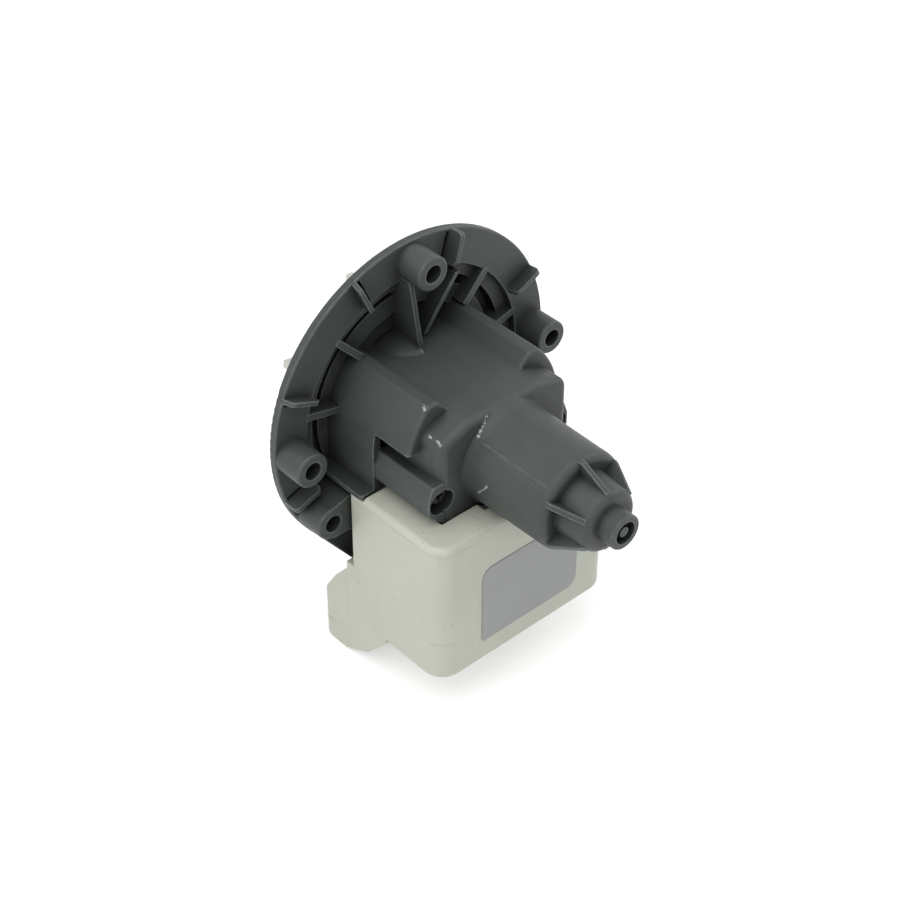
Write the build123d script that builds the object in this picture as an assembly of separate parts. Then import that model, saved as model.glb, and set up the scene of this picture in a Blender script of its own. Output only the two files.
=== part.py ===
# Drain pump with a bladed impeller, a shrouded magnet rotor and a two-coil stator.
# Units are millimetres. The pump axis is X and the tail points to +X.
# Stations along X are counted from the tail-side face of the mounting flange.
# The finished pieces are moved so that the origin sits on the axis, in the mounting face.
from build123d import *
from math import cos, sin, radians, sqrt
import os

# Shared allowances
overrun = 0.6
running_gap = 0.06
body_gap = 0.35
seat_gap = 0.3
slide_gap = 0.2
half_share = 0.5
full_turn = 360
right_angle = 90

# Mounting flange
flange_radius = 47.0
flange_thickness = 2.5
flange_edge_round = 0.45
lobe_angle = 143
lobe_half_width = 21.5
lobe_depth = 49.2

# Screw bosses, each with its own place on the flange
boss_height = 9.1
boss_radius = 4.9
boss_bore_radius = 2.55
boss_edge_round = 0.6
right_boss_reach = 42.2
right_boss_angle = 1.7
top_boss_reach = 41.1
top_boss_angle = 90.7
top_boss_height = 8.7
left_boss_reach = 41.9
left_boss_angle = 180.2
lower_boss_reach = 41.9
lower_boss_angle = 210
boss_places = ((right_boss_reach, right_boss_angle, boss_height),
               (top_boss_reach, top_boss_angle, top_boss_height),
               (left_boss_reach, left_boss_angle, boss_height),
               (lower_boss_reach, lower_boss_angle, boss_height))

# Spigot and chamber floor
spigot_depth = 8.5
spigot_outer_radius = 38.3
spigot_wall = 5.3
spigot_rim_width = 1.5
spigot_inner_radius = spigot_outer_radius - spigot_wall
groove_radius = spigot_outer_radius - spigot_rim_width
floor_depth = 6.0
spigot_lead_in = 0.6
ring_groove_start = 7.2
ring_groove_width = 2.2
ring_groove_depth = 1.55
floor_ring_radius = 24.0
floor_ring_width = 1.4
floor_ring_height = 1.2
collar_radius = 30.0
collar_drop = 4.0

# Radial tabs on the flange
tab_pairs = ((341.6, 25.4), (73.4, 114.5), (157.7, 199.0))
tab_length = 9.4
tab_inner_radius = flange_radius - tab_length
tab_height = 4.0
tab_thickness = 1.3
tab_lean = 0.8
tab_corner_round = 1.4
tab_slit_width = 1.1
tab_slit_depth = 1.7
tab_slit_setback = 0.9

# Arched drum behind the flange
arch_radius = 26.8
arch_bottom = 11.3
arch_end = 14.7
arch_wall = 2.5
cheek_end = 27.6
cheek_bottom = 6.7
cheek_edge_round = 1.0
crest_half_width = 15.9
crest_height = 19.0
crest_round = 1.3
roof_half_width = 12.2
roof_height = 15.5
sill_width = 4.4
sill_height = 1.3
sill_end_round = 1.2

# Stator saddle block
block_end = 35.7
block_half_width = 21.9
block_bottom = 13.2
block_shoulder_height = 12.0
block_corner_round = 3.0
block_edge_round = 2.2
side_gap_top = 7.5
cheek_end_wall = 2.0

# Screw tunnels beside the block
tunnel_offset = 21.9
tunnel_level = -5.0
tunnel_outer = 26.4
tunnel_top = 0.9
tunnel_shoulder = 24.9
tunnel_side_top = -3.2
tunnel_side_bottom = -7.6
tunnel_foot = -11.65
tunnel_round = 0.9
tunnel_side_round = 2.4
tunnel_hole_half_length = 3.95
tunnel_hole_half_height = 3.4
tunnel_depth = 4.7
tunnel_step = 4.2

# Ribs between the flange and the drum
web_angles = (47, 133)
web_thickness = 2.0
web_top = 0.4
bridge_angles = (13.6, 166.4)
bridge_top = 0.2
gusset_thickness = 1.4
gusset_top_spread = 4.3
gusset_foot_spread = 0.9
gusset_top_level = 38.5
gusset_height = 4.4
brace_height = 1.0
brace_top = (14.5, 31.5)
brace_foot = (3.4, 17.0)
plateau_inner_reach = 20.0
plateau_spread = 4.6
plateau_wall = 2.2

# Rotor tube and tail hub
tube_root_radius = 15.45
tube_flare_length = 5.6
tube_radius = 14.4
tube_end_radius = 14.1
tube_end = 63.8
tube_shoulder_round = 2.2
tube_bore_radius = 12.9
tube_bore_end = 60.5
bush_pocket_start = 64.6
hub_root_radius = 9.6
hub_end_radius = 8.85
hub_end = 73.7
hub_edge_round = 2.3
nose_radius = 4.9
nose_end = 78.7
nose_edge_round = 0.5
nose_recess_radius = 3.2
nose_recess_depth = 2.4
nose_pip_radius = 1.4
nose_pip_height = 1.9
hub_rib_count = 6
hub_rib_first_angle = 33
hub_rib_thickness = 1.5
hub_rib_outer_radius = 13.7
hub_rib_tip_radius = 9.2
hub_rib_tip_end = 72.6
seam_width = 0.8
seam_height = 0.25
seam_angles = (137.5, 317.5)

# Bush pocket and rear bush
bush_pocket_radius = 6.9
bush_pocket_end = 72.0
rear_bush_radius = 4.6
rear_bush_start = 66.2
rear_bush_end = 71.4
rear_mount_lip = 0.6

# Shaft
shaft_radius = 2.5
shaft_front = -23.3
shaft_back = 70.9
shaft_chamfer = 0.4

# Magnet rotor
magnet_radius = 12.35
magnet_bore_radius = 7.0
magnet_start = 14.0
magnet_length = 31.0
magnet_chamfer = 0.6
sleeve_flange_radius = 9.4
sleeve_flange_width = 1.6
sleeve_neck_radius = 4.4
sleeve_front = 6.0
sleeve_back = 64.8
sleeve_rib_count = 3
sleeve_key_width = 2.4
sleeve_key_height = 1.0

# Thrust washers
washer_radius = 4.9
washer_thickness = 1.0

# Front bearing shield
shield_front = -10.4
shield_flange_radius = 17.0
shield_flange_thickness = 1.9
shield_back = 5.0
shield_wall = 2.2
shield_bush_wall_radius = 7.6
shield_ring_groove_start = -4.8
shield_ring_groove_width = 2.4
shield_ring_groove_depth = 1.8
shield_web_thickness = 2.2
front_bush_radius = 5.0
front_bush_start = -4.0
front_bush_end = 4.6

# Shaft seal and ring seals
seal_radius = 6.4
seal_start = -10.1
seal_end = -5.2
seal_skin = 1.3
seal_lip_radius = 2.56
seal_lip_width = 0.8
shield_ring_section = 0.9
flange_ring_section = 1.05

# Drive dog on the shaft
dog_start = -21.2
dog_end = -15.2
dog_hub_radius = 4.2
dog_radius = 8.0
dog_angle = 40
dog_flat_radius = 1.9

# Impeller
impeller_back = -11.3
impeller_disc_radius = 18.5
impeller_disc_thickness = 1.6
impeller_hub_radius = 10.4
impeller_cavity_radius = 8.5
impeller_cavity_back = -13.9
impeller_hub_front = -24.6
impeller_blade_count = 4
impeller_blade_front = -29.5
impeller_blade_radius = 21.0
impeller_blade_thickness = 1.9
impeller_blade_first_angle = 83
impeller_blade_tip_round = 1.8
impeller_boss_radius = 4.0
impeller_boss_front = -14.7
lug_angle = 56
lug_inner_radius = 5.4
lug_front = -21.6
bumper_inner_radius = 4.65
bumper_angle = 76
travel_gap_angle = 4
cap_thickness = 1.8
cap_dome_height = 1.6
cap_boss_radius = 4.2
cap_boss_depth = 1.2
cap_bore_depth = 2.3
cap_dome_radius = 9.8

# Laminated stator core
core_start = 16.0
core_thickness = 14.0
core_outer = 19.4
core_inner = 8.9
core_top = 9.6
core_bottom = -55.3
core_yoke_height = 10.4
core_bore_gap = 0.25
core_corner_round = 1.2
core_notch_radius = 2.15
core_pocket_gap = 0.3
rivet_radius = 1.6
rivet_head = 0.5
rivet_level = -50.1
rivet_offset = 14.1

# Core screws
screw_offset = 20.8
screw_level = -5.0
screw_shank_radius = 1.9
screw_tip = 7.0
screw_head_radius = 2.55
screw_head_height = 2.2
screw_slot_radius = 1.35
screw_slot_depth = 1.2
screw_boss_start = 2.5

# Bobbins and windings
bobbin_bottom = -44.3
bobbin_top_gap = 0.25
bobbin_wall = 0.8
bobbin_flange_reach = 4.6
bobbin_flange_thickness = 1.1
winding_depth = 4.1
winding_round = 1.8
bobbin_leg_gap = 0.15

# Thermal cut-out
cutout_length = 11.0
cutout_width = 6.2
cutout_thickness = 3.6
cutout_level = -30.0
cutout_round = 0.7

# Coil cover
cover_front = 9.4
cover_back = 45.1
cover_half_width = 31.0
cover_top = -12.0
cover_bottom = -57.3
cover_wall = 1.8
cover_corner_round = 5.5
cover_foot_corner_round = 6.4
cover_foot_level = -44.7
cover_front_corner_round = 1.2
cover_bottom_round = 1.0
cover_sill_level = -13.0
lid_thickness = 2.3
lid_edge_round = 1.7
lid_rim_height = 1.6
lid_rim_width = 1.2
lid_opening_gap = 0.35
bobbin_top = min(-tube_root_radius, cover_top - lid_thickness) - bobbin_top_gap

# Connector shroud
shroud_inner_side = -5.5
shroud_wall = 1.7
shroud_mouth = -2.3
shroud_profile = (
    (10.6, -38.4), (7.2, -38.4), (7.2, -41.0), (2.4, -46.4), (-1.7, -52.8),
    (-2.3, -54.0), (-2.3, -70.9), (-1.4, -72.0), (5.3, -71.9), (8.7, -70.4),
    (15.3, -66.5), (23.0, -57.9), (23.0, -56.2), (10.6, -56.2))
socket_depth = 13.2
socket_top = -54.6
socket_bottom = -70.2
terminal_offsets = (-13.25, -23.25)
terminal_width = 6.3
terminal_thickness = 0.8
terminal_level = -62.4
terminal_front = 0.4
terminal_back = 14.6
terminal_tip_chamfer = 1.1
terminal_hole_radius = 0.9
terminal_hole_setback = 3.6
terminal_leg_width = 2.6

# Bare rating plate
label_left = -16.4
label_right = 18.3
label_bottom = -50.5
label_top = -25.5
label_thickness = 0.25
label_round = 3.6
label_small_round = 1.0


def yz_plane(x):
    """Plane across the pump axis at the given station, local axes Y and Z."""
    return Plane.YZ.offset(x)


def rod(start, stop, radius, y=0, z=0):
    """Round bar along X between two stations."""
    return extrude(yz_plane(start) * Pos(y, z) * Circle(radius), stop - start)


def tube(start, stop, outer, inner):
    """Plain ring along X."""
    return rod(start, stop, outer) - rod(start - overrun, stop + overrun, inner)


def block(x_range, y_range, z_range):
    """Box from three pairs of limits."""
    centre = [sum(limits) * half_share for limits in (x_range, y_range, z_range)]
    spans = [max(limits) - min(limits) for limits in (x_range, y_range, z_range)]
    return Pos(*centre) * Box(*spans)


def prism(points, start, stop):
    """Outline in Y and Z carried along X."""
    outline = make_face(Polyline(*points, close=True))
    return extrude(yz_plane(start) * outline, stop - start)


def side_prism(points, low, high):
    """Outline in X and Z carried along Y."""
    outline = make_face(Polyline(*points, close=True))
    return extrude(Plane.XZ.offset(-high) * outline, high - low)


def turned(points):
    """Outline in X and radius turned about the pump axis."""
    outline = make_face(Polyline(*points, close=True))
    return revolve(outline, Axis.X, full_turn)


def at_angle(shape, angle):
    """Shape turned about the pump axis."""
    return Rot(angle, 0, 0) * shape


def on_circle(radius, angle):
    """Y and Z of a point on a circle about the axis."""
    return radius * cos(radians(angle)), radius * sin(radians(angle))


def sector(start, stop, inner, outer, angle_from, angle_to):
    """Ring sector about the axis, angles counted from +Y towards +Z."""
    ring = turned(((start, inner), (stop, inner), (stop, outer), (start, outer)))
    span = angle_to - angle_from
    wedge = revolve(
        make_face(Polyline((start, 0), (stop, 0), (stop, outer + overrun), (start, outer + overrun), close=True)),
        Axis.X, span)
    return ring & at_angle(wedge, angle_from)


def mirrored(shape):
    """Copy on the other side of the vertical mid-plane."""
    return mirror(shape, Plane.XZ)


def edges_at_x(shape, x):
    """Edges that lie wholly in one plane across the axis."""
    return shape.edges().filter_by_position(Axis.X, x - body_gap * half_share, x + body_gap * half_share)


def radial_wall(angle, inner, outer, bottom, top, thickness):
    """Straight wall on a radius of the flange."""
    half = thickness * half_share
    return at_angle(block((bottom, top), (inner, outer), (-half, half)), angle)


def flange_plate():
    """Round plate with a lobe that runs off the circle on two tangents."""
    start_y, start_z = on_circle(flange_radius, lobe_angle)
    lobe = ((start_y, -start_z), (-lobe_half_width, -lobe_depth),
            (lobe_half_width, -lobe_depth), (-start_y, -start_z))
    plate = rod(-flange_thickness, 0, flange_radius) + prism(lobe, -flange_thickness, 0)
    rims = edges_at_x(plate, 0) + edges_at_x(plate, -flange_thickness)
    return fillet(rims, flange_edge_round)


def spigot():
    """Stepped ring and chamber floor that plug into the pump casing."""
    return turned((
        (-spigot_depth, tube_bore_radius), (-spigot_depth, spigot_outer_radius - spigot_lead_in),
        (-spigot_depth + spigot_lead_in, spigot_outer_radius),
        (-flange_thickness * half_share, spigot_outer_radius),
        (-flange_thickness * half_share, groove_radius), (-flange_thickness, groove_radius),
        (-flange_thickness, spigot_inner_radius), (-floor_depth, spigot_inner_radius),
        (-floor_depth, tube_bore_radius)))


def arch():
    """Drum with two raised cheeks and a sunken roof between them."""
    profile = Circle(arch_radius) + Pos(0, -arch_bottom * half_share) * Rectangle(
        arch_radius + arch_radius, arch_bottom)
    wide = arch_radius + overrun
    limit = make_face(Polyline(
        (-wide, -arch_bottom), (-wide, crest_height), (-crest_half_width, crest_height),
        (-roof_half_width, roof_height), (roof_half_width, roof_height),
        (crest_half_width, crest_height), (wide, crest_height), (wide, -arch_bottom), close=True))
    section = profile & limit
    crests = section.vertices().filter_by(lambda v: v.Y > crest_height - body_gap)
    section = fillet(crests, crest_round)
    body = extrude(yz_plane(-floor_depth - overrun) * section, cheek_end + floor_depth + overrun)
    rims = edges_at_x(body, cheek_end).filter_by(GeomType.CIRCLE)
    body = fillet(rims, cheek_edge_round)
    side = block((arch_end, cheek_end + overrun), (block_half_width, wide), (-arch_bottom - overrun, cheek_bottom))
    return body - side - mirrored(side)


def saddle():
    """Block that holds the legs of the stator core."""
    outline = ((-block_half_width, -block_bottom), (-block_half_width, block_shoulder_height),
               (-roof_half_width, roof_height), (roof_half_width, roof_height),
               (block_half_width, block_shoulder_height), (block_half_width, -block_bottom))
    body = prism(outline, -floor_depth - overrun, block_end)
    corners = body.edges().filter_by(Axis.X).filter_by(
        lambda e: abs(e.center().Y) > roof_half_width + overrun and e.center().Z > 0)
    body = fillet(corners, block_corner_round)
    tail = edges_at_x(body, block_end).filter_by(lambda e: e.center().Z > -block_bottom + overrun)
    return fillet(tail, block_edge_round)


def tail_profile():
    """Outer outline of the rotor tube with its flared root, the hub and the nose."""
    start = block_end - block_edge_round
    middle = (start + tube_flare_length * half_share, (tube_root_radius + tube_radius) * half_share)
    finish = (start + tube_flare_length, tube_radius)
    shoulder = TangentArc((start, tube_root_radius), middle, tangent=(1, 0))
    hollow = TangentArc(middle, finish, tangent=shoulder % 1)
    inner = Polyline((start, tube_root_radius), (-floor_depth - overrun, tube_root_radius),
                     (-floor_depth - overrun, 0), (nose_end, 0), (nose_end, nose_radius),
                     (hub_end, nose_radius), (hub_end, hub_end_radius), (tube_end, hub_root_radius),
                     (tube_end, tube_end_radius), finish)
    return make_face([shoulder, hollow, inner])


def tail():
    """Tapered rotor tube with its ribbed hub and hollow nose."""
    body = revolve(tail_profile(), Axis.X, full_turn)
    body = fillet(edges_at_x(body, tube_end).filter_by(
        lambda e: e.radius > tube_end_radius - body_gap), tube_shoulder_round)
    body = fillet(edges_at_x(body, hub_end).filter_by(
        lambda e: e.radius > nose_radius + body_gap), hub_edge_round)
    body = fillet(edges_at_x(body, nose_end), nose_edge_round)
    rib = side_prism(((tube_end - tube_shoulder_round, nose_radius),
                      (tube_end - tube_shoulder_round, hub_rib_outer_radius),
                      (tube_end + body_gap, hub_rib_outer_radius),
                      (hub_rib_tip_end, hub_rib_tip_radius), (hub_rib_tip_end, nose_radius)),
                     -hub_rib_thickness * half_share, hub_rib_thickness * half_share)
    for index in range(hub_rib_count):
        turn = hub_rib_first_angle - right_angle + index * full_turn / hub_rib_count
        body += at_angle(rib, turn)
    seam_start = block_end - block_edge_round + tube_flare_length * half_share
    seam_end = tube_end - tube_shoulder_round
    seam = side_prism(((seam_start, tube_end_radius - overrun), (seam_start, tube_radius + seam_height),
                       (seam_end, tube_end_radius + seam_height), (seam_end, tube_end_radius - overrun)),
                      -seam_width * half_share, seam_width * half_share)
    for angle in seam_angles:
        body += at_angle(seam, angle - right_angle)
    recess = rod(nose_end - nose_recess_depth, nose_end + overrun, nose_recess_radius)
    pip = rod(nose_end - nose_recess_depth, nose_end - nose_recess_depth + nose_pip_height, nose_pip_radius)
    return body - recess + pip


def rotor_bore():
    """Space for the magnet rotor and the rear bush pocket."""
    return turned(((-spigot_depth - overrun, 0), (-spigot_depth - overrun, tube_bore_radius),
                   (tube_bore_end, tube_bore_radius), (bush_pocket_start, bush_pocket_radius),
                   (bush_pocket_end, bush_pocket_radius), (bush_pocket_end, 0)))


def slot_bar(start, stop, half_length, half_height):
    """Flat-sided round bar along X at the screw tunnel."""
    face = SlotOverall(half_length + half_length, half_height + half_height)
    return extrude(yz_plane(start) * Pos(-tunnel_offset, tunnel_level) * face, stop - start)


def tunnel_ridge(stop):
    """Rounded ridge around the left screw tunnel, down to the foot of the block."""
    inner = -block_half_width + overrun
    ridge = prism(((inner, tunnel_top), (-tunnel_shoulder, tunnel_top), (-tunnel_outer, tunnel_side_top),
                   (-tunnel_outer, tunnel_side_bottom), (-block_half_width, tunnel_foot), (inner, tunnel_foot)),
                  arch_end - overrun, stop)
    edges = ridge.edges().filter_by(Axis.X)
    ridge = fillet(edges.filter_by(lambda e: abs(e.center().Y + tunnel_outer) < body_gap), tunnel_side_round)
    edges = ridge.edges().filter_by(Axis.X)
    return fillet(edges.filter_by(lambda e: abs(e.center().Y + tunnel_shoulder) < body_gap
                                  and e.center().Z > tunnel_top - body_gap), tunnel_round)


def screw_way():
    """Mouth and pilot hole of the left core screw."""
    seat = block_end - tunnel_depth
    mouth = slot_bar(seat, block_end + overrun, tunnel_hole_half_length, tunnel_hole_half_height)
    return mouth + rod(screw_tip - body_gap, seat + overrun, screw_shank_radius, -screw_offset, screw_level)


def bosses():
    """Four screw bosses with their bores left for the final cut."""
    shape = None
    for reach, angle, height in boss_places:
        y, z = on_circle(reach, angle)
        post = rod(-flange_thickness * half_share, height, boss_radius, y, z)
        post = fillet(edges_at_x(post, height), boss_edge_round)
        shape = post if shape is None else shape + post
    return shape


def tab(angle, lean):
    """Thin plate on a radius of the flange, with its top leaning to one side."""
    half = tab_thickness * half_share
    root = -flange_thickness * half_share
    plate = side_prism(((root, -half), (0, -half), (tab_height, lean - half), (tab_height, lean + half),
                        (0, half), (root, half)), tab_inner_radius, flange_radius)
    corners = plate.edges().filter_by(Axis.Z).filter_by(lambda e: e.center().X > tab_height - body_gap)
    return at_angle(fillet(corners, tab_corner_round), angle)


def tab_slit(angle, side):
    """Blind slit in the flange along the foot of a tab."""
    near = side * tab_thickness * half_share
    far = near + side * tab_slit_width
    return at_angle(block((-tab_slit_depth, tab_slit_setback), (tab_inner_radius, flange_radius - tab_slit_setback),
                          (min(near, far), max(near, far))), angle)


def flange_ribs():
    """Webs between the flange, the bosses and the drum."""
    inner = arch_radius - overrun
    shape = None
    for angle in web_angles:
        wall = radial_wall(angle, inner, groove_radius + overrun, -floor_depth - overrun, web_top, web_thickness)
        shape = wall if shape is None else shape + wall
    for angle in bridge_angles:
        shape += radial_wall(angle, inner, groove_radius + overrun, -floor_depth - overrun, bridge_top, web_thickness)
    half = gusset_thickness * half_share
    shape += leaning_wall((-gusset_top_spread, gusset_top_level), (-gusset_foot_spread, roof_height - overrun),
                          half, gusset_height)
    return shape + leaning_wall(brace_top, brace_foot, half, brace_height)


def leaning_wall(top, foot, half, height):
    """Thin wall on the chamber floor between two points."""
    outline = ((top[0] - half, top[1]), (top[0] + half, top[1]), (foot[0] + half, foot[1]), (foot[0] - half, foot[1]))
    return prism(outline, -floor_depth - overrun, height)


def plateau():
    """Hollow pad that ties the lower boss to the drum."""
    y, z = on_circle(lower_boss_reach, lower_boss_angle)
    low = z - boss_radius
    high = z + boss_radius
    pad = prism(((y, low), (-plateau_inner_reach, low), (-plateau_inner_reach, high + plateau_spread), (y, high)),
                -floor_depth - overrun, boss_height)
    hollow = block((-floor_depth + plateau_wall, boss_height - plateau_wall),
                   (y + boss_radius, -plateau_inner_reach + overrun), (low + plateau_wall, high - plateau_wall))
    pad -= tube(-spigot_depth, -flange_thickness * half_share, flange_radius, spigot_inner_radius + overrun)
    return pad - hollow


def sills():
    """Ledges along the feet of the drum."""
    bar = block((-floor_depth - overrun, arch_end), (-arch_radius - sill_width, -arch_radius + arch_wall),
                (-arch_bottom - sill_height, -arch_bottom))
    corner = bar.edges().filter_by(Axis.Z).filter_by(
        lambda e: e.center().X > arch_end - body_gap and e.center().Y < -arch_radius)
    bar = fillet(corner, sill_end_round)
    return bar + mirrored(bar)


def side_hollow():
    """Slot between the drum skin and the block, open downwards."""
    low = -arch_bottom - sill_height - overrun
    return block((-floor_depth + arch_wall, cheek_end - cheek_end_wall),
                 (-arch_radius + arch_wall, -block_half_width), (low, side_gap_top))


def leg_pocket():
    """Pocket for one leg of the stator core, open downwards."""
    gap = core_pocket_gap
    room = block((core_start - gap, core_start + core_thickness + gap),
                 (-core_outer - gap, -core_inner + gap), (-block_bottom - overrun, core_top + gap))
    return room - rod(core_start - gap - overrun, core_start + core_thickness + gap + overrun, tube_root_radius)


def front_pocket():
    """Weight-saving pocket ahead of the core, open downwards."""
    room = block((-floor_depth + plateau_wall, core_start - core_pocket_gap - plateau_wall),
                 (-core_outer, -core_inner), (-block_bottom - overrun, core_top))
    room -= rod(-floor_depth, core_start, tube_root_radius)
    post = rod(screw_boss_start, core_start, screw_head_radius + slide_gap, -screw_offset, screw_level)
    return room - post


def pump_housing():
    """One-piece housing: flange, drum, saddle block, rotor tube and tail."""
    shape = flange_plate() - rod(-flange_thickness - overrun, overrun, groove_radius)
    shape += spigot()
    shape += turned(((-floor_depth - overrun, arch_radius - arch_wall), (-floor_depth - overrun, collar_radius),
                     (-collar_drop, collar_radius), (-collar_drop, arch_radius - arch_wall)))
    shape += turned(((-spigot_depth - floor_ring_height, floor_ring_radius),
                     (-spigot_depth - floor_ring_height, floor_ring_radius + floor_ring_width),
                     (-spigot_depth + overrun, floor_ring_radius + floor_ring_width),
                     (-spigot_depth + overrun, floor_ring_radius)))
    shape += bosses()
    for low_angle, high_angle in tab_pairs:
        shape = shape - tab_slit(low_angle, 1) - tab_slit(high_angle, -1)
        shape = shape + tab(low_angle, -tab_lean) + tab(high_angle, tab_lean)
    shape += arch()
    shape += saddle()
    shape += sills()
    shape += plateau()
    shape += flange_ribs()
    shape -= side_hollow()
    shape -= mirrored(side_hollow())
    shape += tunnel_ridge(block_end)
    shape += mirrored(tunnel_ridge(block_end - tunnel_step))
    shape += tail()
    shape -= rotor_bore()
    for pocket in (leg_pocket(), front_pocket()):
        shape -= pocket
        shape -= mirrored(pocket)
    shape -= screw_way()
    shape -= mirrored(screw_way())
    for reach, angle, height in boss_places:
        y, z = on_circle(reach, angle)
        shape -= rod(-spigot_depth, height + overrun, boss_bore_radius, y, z)
    groove_stop = ring_groove_start - ring_groove_width
    return shape - tube(-ring_groove_start, -groove_stop, spigot_outer_radius + overrun,
                        spigot_outer_radius - ring_groove_depth)


def ring_seal(station, major, section):
    """Round-section ring seal about the axis."""
    face = Plane.XY * Pos(station, major) * Circle(section)
    return revolve(face, Axis.X, full_turn)


def flange_seal():
    """Ring seal in the spigot groove."""
    station = -ring_groove_start + ring_groove_width * half_share
    major = spigot_outer_radius - ring_groove_depth + flange_ring_section
    return ring_seal(station, major, flange_ring_section)


def bearing_shield():
    """Plug that closes the rotor tube and carries the front bush and shaft seal."""
    groove_stop = shield_ring_groove_start + shield_ring_groove_width
    outer = tube_bore_radius
    flange_back = shield_front + shield_flange_thickness
    web_back = seal_end + shield_web_thickness
    body = turned((
        (shield_front, seal_radius), (shield_front, shield_flange_radius),
        (flange_back, shield_flange_radius), (flange_back, outer), (shield_ring_groove_start, outer),
        (shield_ring_groove_start, outer - shield_ring_groove_depth),
        (groove_stop, outer - shield_ring_groove_depth), (groove_stop, outer),
        (shield_back, outer), (shield_back, outer - shield_wall),
        (groove_stop, outer - shield_wall), (groove_stop, shield_bush_wall_radius),
        (shield_back, shield_bush_wall_radius), (shield_back, front_bush_radius),
        (front_bush_start, front_bush_radius), (front_bush_start, shaft_radius + body_gap),
        (seal_end, shaft_radius + body_gap), (seal_end, seal_radius)))
    return body


def shaft_seal():
    """Rubber lip seal with a hollow back."""
    lip = seal_lip_radius
    return turned(((seal_start, lip), (seal_start, seal_radius), (seal_end, seal_radius),
                   (seal_end, seal_radius - seal_skin), (seal_start + seal_skin, seal_radius - seal_skin),
                   (seal_start + seal_skin, lip + seal_skin), (seal_start + seal_skin + seal_lip_width, lip + seal_skin),
                   (seal_start + seal_skin + seal_lip_width, lip)))


def bush(start, stop, outer):
    """Plain bush on the shaft."""
    ring = tube(start, stop, outer, shaft_radius + running_gap)
    ends = ring.edges().filter_by(GeomType.CIRCLE).filter_by(lambda e: e.radius > outer - body_gap)
    return chamfer(ends, shaft_chamfer)


def washer(start):
    """Thrust washer with a running fit on the shaft."""
    return tube(start, start + washer_thickness, washer_radius, shaft_radius + running_gap)


def rear_bush_mount():
    """Rubber collar that holds the rear bush in the hub."""
    entry = washer_radius + seat_gap
    return turned(((bush_pocket_start, entry), (bush_pocket_start, bush_pocket_radius),
                   (bush_pocket_end, bush_pocket_radius), (bush_pocket_end, rear_bush_radius - rear_mount_lip),
                   (rear_bush_end, rear_bush_radius - rear_mount_lip), (rear_bush_end, rear_bush_radius),
                   (rear_bush_start, rear_bush_radius), (rear_bush_start, entry)))


def shaft():
    """Straight steel shaft with a flat for the drive dog."""
    bar = rod(shaft_front, shaft_back, shaft_radius)
    bar = chamfer(bar.edges().filter_by(GeomType.CIRCLE), shaft_chamfer)
    flat = block((shaft_front - overrun, dog_end), (-shaft_radius, shaft_radius), (dog_flat_radius, shaft_radius + overrun))
    return bar - flat


def magnet():
    """Ring magnet with chamfered ends and two key slots."""
    ring = tube(magnet_start, magnet_start + magnet_length, magnet_radius, magnet_bore_radius)
    ends = ring.edges().filter_by(GeomType.CIRCLE).filter_by(lambda e: e.radius > magnet_radius - body_gap)
    ring = chamfer(ends, magnet_chamfer)
    return ring - sleeve_keys()


def sleeve_keys():
    """Keys that lock the magnet to its sleeve."""
    half = sleeve_key_width * half_share
    shape = None
    for index in range(sleeve_rib_count):
        key = block((magnet_start, magnet_start + magnet_length),
                    (magnet_bore_radius - sleeve_key_height, magnet_bore_radius + sleeve_key_height), (-half, half))
        key = at_angle(key, index * full_turn / sleeve_rib_count)
        shape = key if shape is None else shape + key
    return shape


def magnet_sleeve():
    """Plastic sleeve between the magnet and the shaft."""
    magnet_back = magnet_start + magnet_length
    body = turned((
        (sleeve_front, shaft_radius), (sleeve_front, sleeve_neck_radius),
        (magnet_start - sleeve_flange_width, sleeve_neck_radius),
        (magnet_start - sleeve_flange_width, sleeve_flange_radius), (magnet_start, sleeve_flange_radius),
        (magnet_start, magnet_bore_radius), (magnet_back, magnet_bore_radius), (magnet_back, sleeve_flange_radius),
        (magnet_back + sleeve_flange_width, sleeve_flange_radius),
        (magnet_back + sleeve_flange_width, sleeve_neck_radius),
        (sleeve_back, sleeve_neck_radius), (sleeve_back, shaft_radius)))
    return body + sleeve_keys()


def drive_dog():
    """Hub with one driving wing, fixed on the flat of the shaft."""
    hub = rod(dog_start, dog_end, dog_hub_radius)
    wing = sector(dog_start, dog_end, shaft_radius, dog_radius, -dog_angle * half_share, dog_angle * half_share)
    bore = rod(dog_start - overrun, dog_end + overrun, shaft_radius)
    flat = block((dog_start - overrun, dog_end + overrun), (-shaft_radius, shaft_radius),
                 (dog_flat_radius, shaft_radius + overrun))
    return hub + wing - (bore - flat)


def lug_centre():
    """Angle of the stop lug when the wing rests against its first side."""
    return dog_angle * half_share + travel_gap_angle + bumper_angle * half_share


def impeller_bumper():
    """Rubber saddle over the stop lug."""
    centre = lug_centre()
    pad = sector(lug_front, impeller_cavity_back, bumper_inner_radius, impeller_cavity_radius,
                 centre - bumper_angle * half_share, centre + bumper_angle * half_share)
    lug = sector(lug_front - overrun, impeller_cavity_back + overrun, lug_inner_radius,
                 impeller_cavity_radius + overrun, centre - lug_angle * half_share, centre + lug_angle * half_share)
    return pad - lug


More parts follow.
